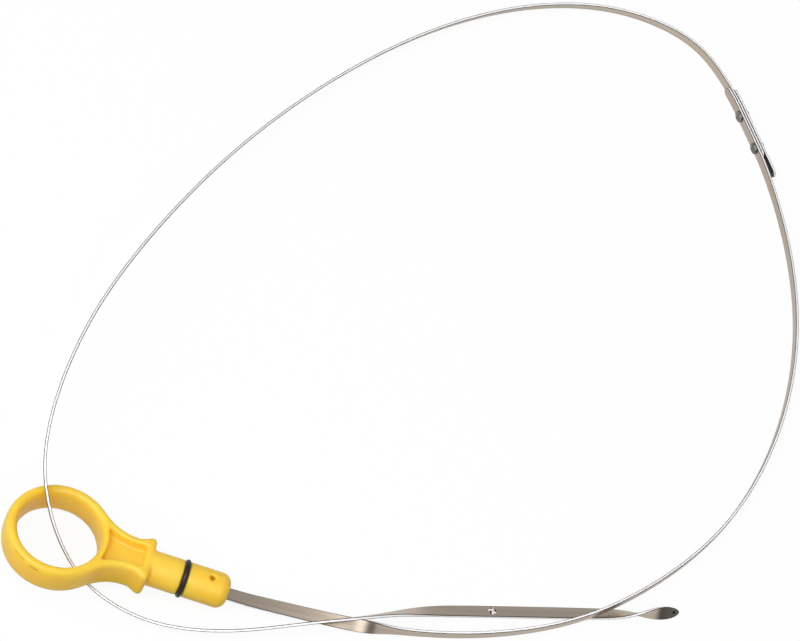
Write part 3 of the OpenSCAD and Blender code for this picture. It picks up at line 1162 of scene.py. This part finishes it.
@dataclass
class Rivet:
    """One rivet: a rimmed, domed set head inside the loop and a hammered tail outside."""

    name: str
    node: str
    along_mm: float
    shank_mm: float = 1.1
    head_mm: float = 2.1
    head_high_mm: float = 1.05
    tail_mm: float = 1.7
    tail_high_mm: float = 0.6
    face_mm: float = 0.98
    foot_mm: float = 1.92
    steps: int = 40
    smooth_deg: float = 35.0
    # Shares of the radius, with millimetres up from the tail's foot, up from the head's face
    # and down from the head's top
    tail_dome: tuple[tuple[float, float], ...] = (
        (0.0, 0.0), (0.5, 0.03), (0.8, 0.12), (1.0, 0.3))
    head_rim: tuple[tuple[float, float], ...] = (
        (1.0, 0.0), (1.0, 0.36), (0.96, 0.5), (0.8, 0.6))
    head_dome: tuple[tuple[float, float], ...] = (
        (0.74, 0.34), (0.62, 0.16), (0.4, 0.05), (0.0, 0.0))
    finish: PlatedSteel = field(default_factory=PlatedSteel)

    def build(self) -> bpy.types.Object:
        """Spins the rivet's profile and dresses it.

        Returns:
            The piece that stands for the rivet's solid.
        """
        top, foot = self.face_mm + self.head_high_mm, -self.foot_mm - self.tail_high_mm
        profile = [(self.tail_mm * share, foot + rise) for share, rise in self.tail_dome]
        profile += [(self.tail_mm, -self.foot_mm), (self.shank_mm, -self.foot_mm),
                    (self.shank_mm, self.face_mm)]
        profile += [(self.head_mm * share, self.face_mm + rise) for share, rise in self.head_rim]
        profile += [(self.head_mm * share, top - fall) for share, fall in self.head_dome]
        bm = revolve(profile, self.steps)
        bmesh.ops.transform(bm, matrix=JOINT.matrix(self.along_mm), verts=bm.verts)
        piece = make_piece(self.name, bm, [self.finish.make()], self.smooth_deg)
        install(piece, Slot.RIVET, self.node)
        return piece


# Stage


@dataclass(frozen=True)
class Camera:
    """The photograph's viewing angle, with the picture turned in its own plane."""

    elevation: float = 62.5
    turn: float = 22.0
    distance_mm: float = 900.0
    px_per_mm: float = 2.971
    target_mm: tuple[float, float, float] = (-4.3, -7.0, 0.0)
    sensor_mm: float = 36.0
    clip_m: tuple[float, float] = (0.01, 20.0)

    def place(self) -> None:
        """Adds the camera and makes it the scene's own."""
        turn, rise = math.radians(self.turn), math.radians(self.elevation)
        back = Vector((-math.sin(turn) * math.cos(rise), -math.cos(turn) * math.cos(rise),
                       math.sin(rise)))
        level = Vector((0, 0, 1)).cross(back).normalized()
        steep = back.cross(level)
        right = math.cos(turn) * level + math.sin(turn) * steep
        up = -math.sin(turn) * level + math.cos(turn) * steep
        data = bpy.data.cameras.new("camera")
        data.sensor_width = self.sensor_mm
        data.lens = self.px_per_mm * self.distance_mm / PICTURE_WIDTH_PX * self.sensor_mm
        data.clip_start, data.clip_end = self.clip_m
        camera = bpy.data.objects.new("camera", data)
        bpy.context.scene.collection.objects.link(camera)
        turned = Matrix((right, up, back)).transposed().to_4x4()
        turned.translation = (Vector(self.target_mm) + self.distance_mm * back) * MM
        camera.matrix_world = turned
        bpy.context.scene.camera = camera


@dataclass(frozen=True)
class Lamp:
    """One square soft box that looks at the origin. Metres and watts."""

    name: str
    at: tuple[float, float, float]
    size: float
    power: float

    def place(self) -> None:
        """Adds the lamp."""
        data = bpy.data.lights.new(self.name, "AREA")
        data.shape = "SQUARE"
        data.size = self.size
        data.energy = self.power
        lamp = bpy.data.objects.new(self.name, data)
        bpy.context.scene.collection.objects.link(lamp)
        lamp.location = self.at
        lamp.rotation_mode = "QUATERNION"
        lamp.rotation_quaternion = (-Vector(self.at)).to_track_quat("-Z", "Y")


@dataclass
class Studio:
    """White paper floor, soft boxes, and a pale room, dark behind the camera and in front."""

    floor_m: float = 3.0
    floor_down_mm: float = 0.02
    room: float = 0.48
    dark: float = 0.05
    dark_side: tuple[float, float, float] = (-0.173, -0.428, 0.887)
    dark_front: tuple[float, float, float] = (0.17, -0.95, 0.26)
    # Cosines of the angles where the dark fades out and where it is full
    dark_rim: tuple[float, float] = (0.86, 0.98)
    lamps: tuple[Lamp, ...] = (
        Lamp("top_box", (-0.4, -0.24, 1.25), 0.9, 10.6),
        Lamp("front_box", (0.17, -0.95, 0.88), 0.55, 2.5),
        Lamp("left_box", (-1.1, 0.1, 0.8), 0.9, 3.6),
    )

    def build(self) -> None:
        """Adds the floor, the room's light and the lamps."""
        self.lay_floor()
        self.light_room()
        for lamp in self.lamps:
            lamp.place()

    def lay_floor(self) -> None:
        """Adds the paper, a hair under the part, so that no face of it lies in the paper."""
        bm = bmesh.new()
        bmesh.ops.create_grid(bm, x_segments=1, y_segments=1, size=self.floor_m)
        bmesh.ops.translate(bm, verts=bm.verts, vec=(0, 0, -self.floor_down_mm * MM))
        floor = make_piece("paper_floor", bm, [StudioWhite().make()])

    def light_room(self) -> None:
        """Makes the room white to the camera, and pale with dark parts to what it lights."""
        world = bpy.data.worlds.new("studio_room")
        bpy.context.scene.world = world
        world.use_nodes = True
        way = add_node(world, "TexCoord").outputs["Generated"]
        side, front = (calculate_vector(world, "DOT_PRODUCT", way, dark)["Value"]
                       for dark in (self.dark_side, self.dark_front))
        nearer = calculate(world, "MAXIMUM", side, front)
        walls = remap(world, nearer, self.room, self.dark, self.dark_rim, Curve.SOFT)
        seen = add_node(world, "LightPath").outputs["Is Camera Ray"]
        fill(world, world.node_tree.nodes["Background"], {
            "Color": (1, 1, 1, 1), "Strength": remap(world, seen, walls, 1.0)})


def strips() -> list[Strip]:
    """Lists what is swept, each with the finishes of its flats, edges and corners.

    Returns:
        The two strips and the joint's backing plate.
    """
    upper = [SpringSteel("brushed_spring_steel_upper", "#BBAC9C", "#CFC1B3", 0.32),
             # Slit edges in all three lists are near white: a painted highlight, brighter than
             # steel
             BareSteel("slit_edge_painted_highlight_upper", "#FBFBFC", 0.75),
             # Corners in all three lists are dark: painted shade, drawing the dark lines along the
             # edges
             BareSteel("corner_painted_shade_upper", "#453E38", 0.4)]
    # The lower strip's end carries a painted dark reflection
    lower = [SpringSteel("brushed_spring_steel_lower", "#C1B3A3", "#D6C8B9", 0.32,
                         painted_dark_tip="#6E6C63", painted_dark_tip_from_mm=-8.0, painted_dark_tip_mm=2.0),
             BareSteel("slit_edge_painted_highlight_lower", "#FBFBFC", 0.75),
             BareSteel("corner_painted_shade_lower", "#453E38", 0.4)]
    # Painted shade: the plate's flats are near-black steel, standing in for the shade on its inner
    # face
    plate = [SpringSteel("plate_steel_painted_shade", "#3E3731", "#5A524A", 0.4),
             BareSteel("slit_edge_painted_highlight_plate", "#FDFCFA", 0.8),
             BareSteel("corner_painted_shade_plate", "#5A534D", 0.4)]
    return [Strip("upper_strip", "upper_blade", Slot.UPPER_STRIP, UPPER_ROUTE, start=0.0,
                  end=UPPER_END, side=1, finishes=upper),
            Strip("lower_strip", "lower_blade", Slot.LOWER_STRIP, LOWER_ROUTE, start=LOWER_START,
                  end=LOWER_END, side=-1, finishes=lower, last_end_mm=6.4, mark_row=MARK_ROW,
                  hole_back_mm=1.9),
            Strip("backing_plate", "joint_plate", Slot.LOWER_STRIP, PLATE_ROUTE,
                  start=PLATE_START, end=PLATE_END, side=-3, finishes=plate)]


def main() -> None:
    logging.basicConfig(level=logging.INFO, format="%(name)s %(message)s")
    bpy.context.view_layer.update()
    Camera().place()
    Studio().build()
    Handle().build()
    SealingRing().build()
    for strip in strips():
        strip.build()
    half_pitch = JOINT.rivet_pitch / 2
    Rivet("rivet_above", "upper_rivet", half_pitch).build()
    Rivet("rivet_below", "lower_rivet", -half_pitch).build()
    bpy.context.scene.view_settings.view_transform = "Standard"


if __name__ == "__main__":
    main()
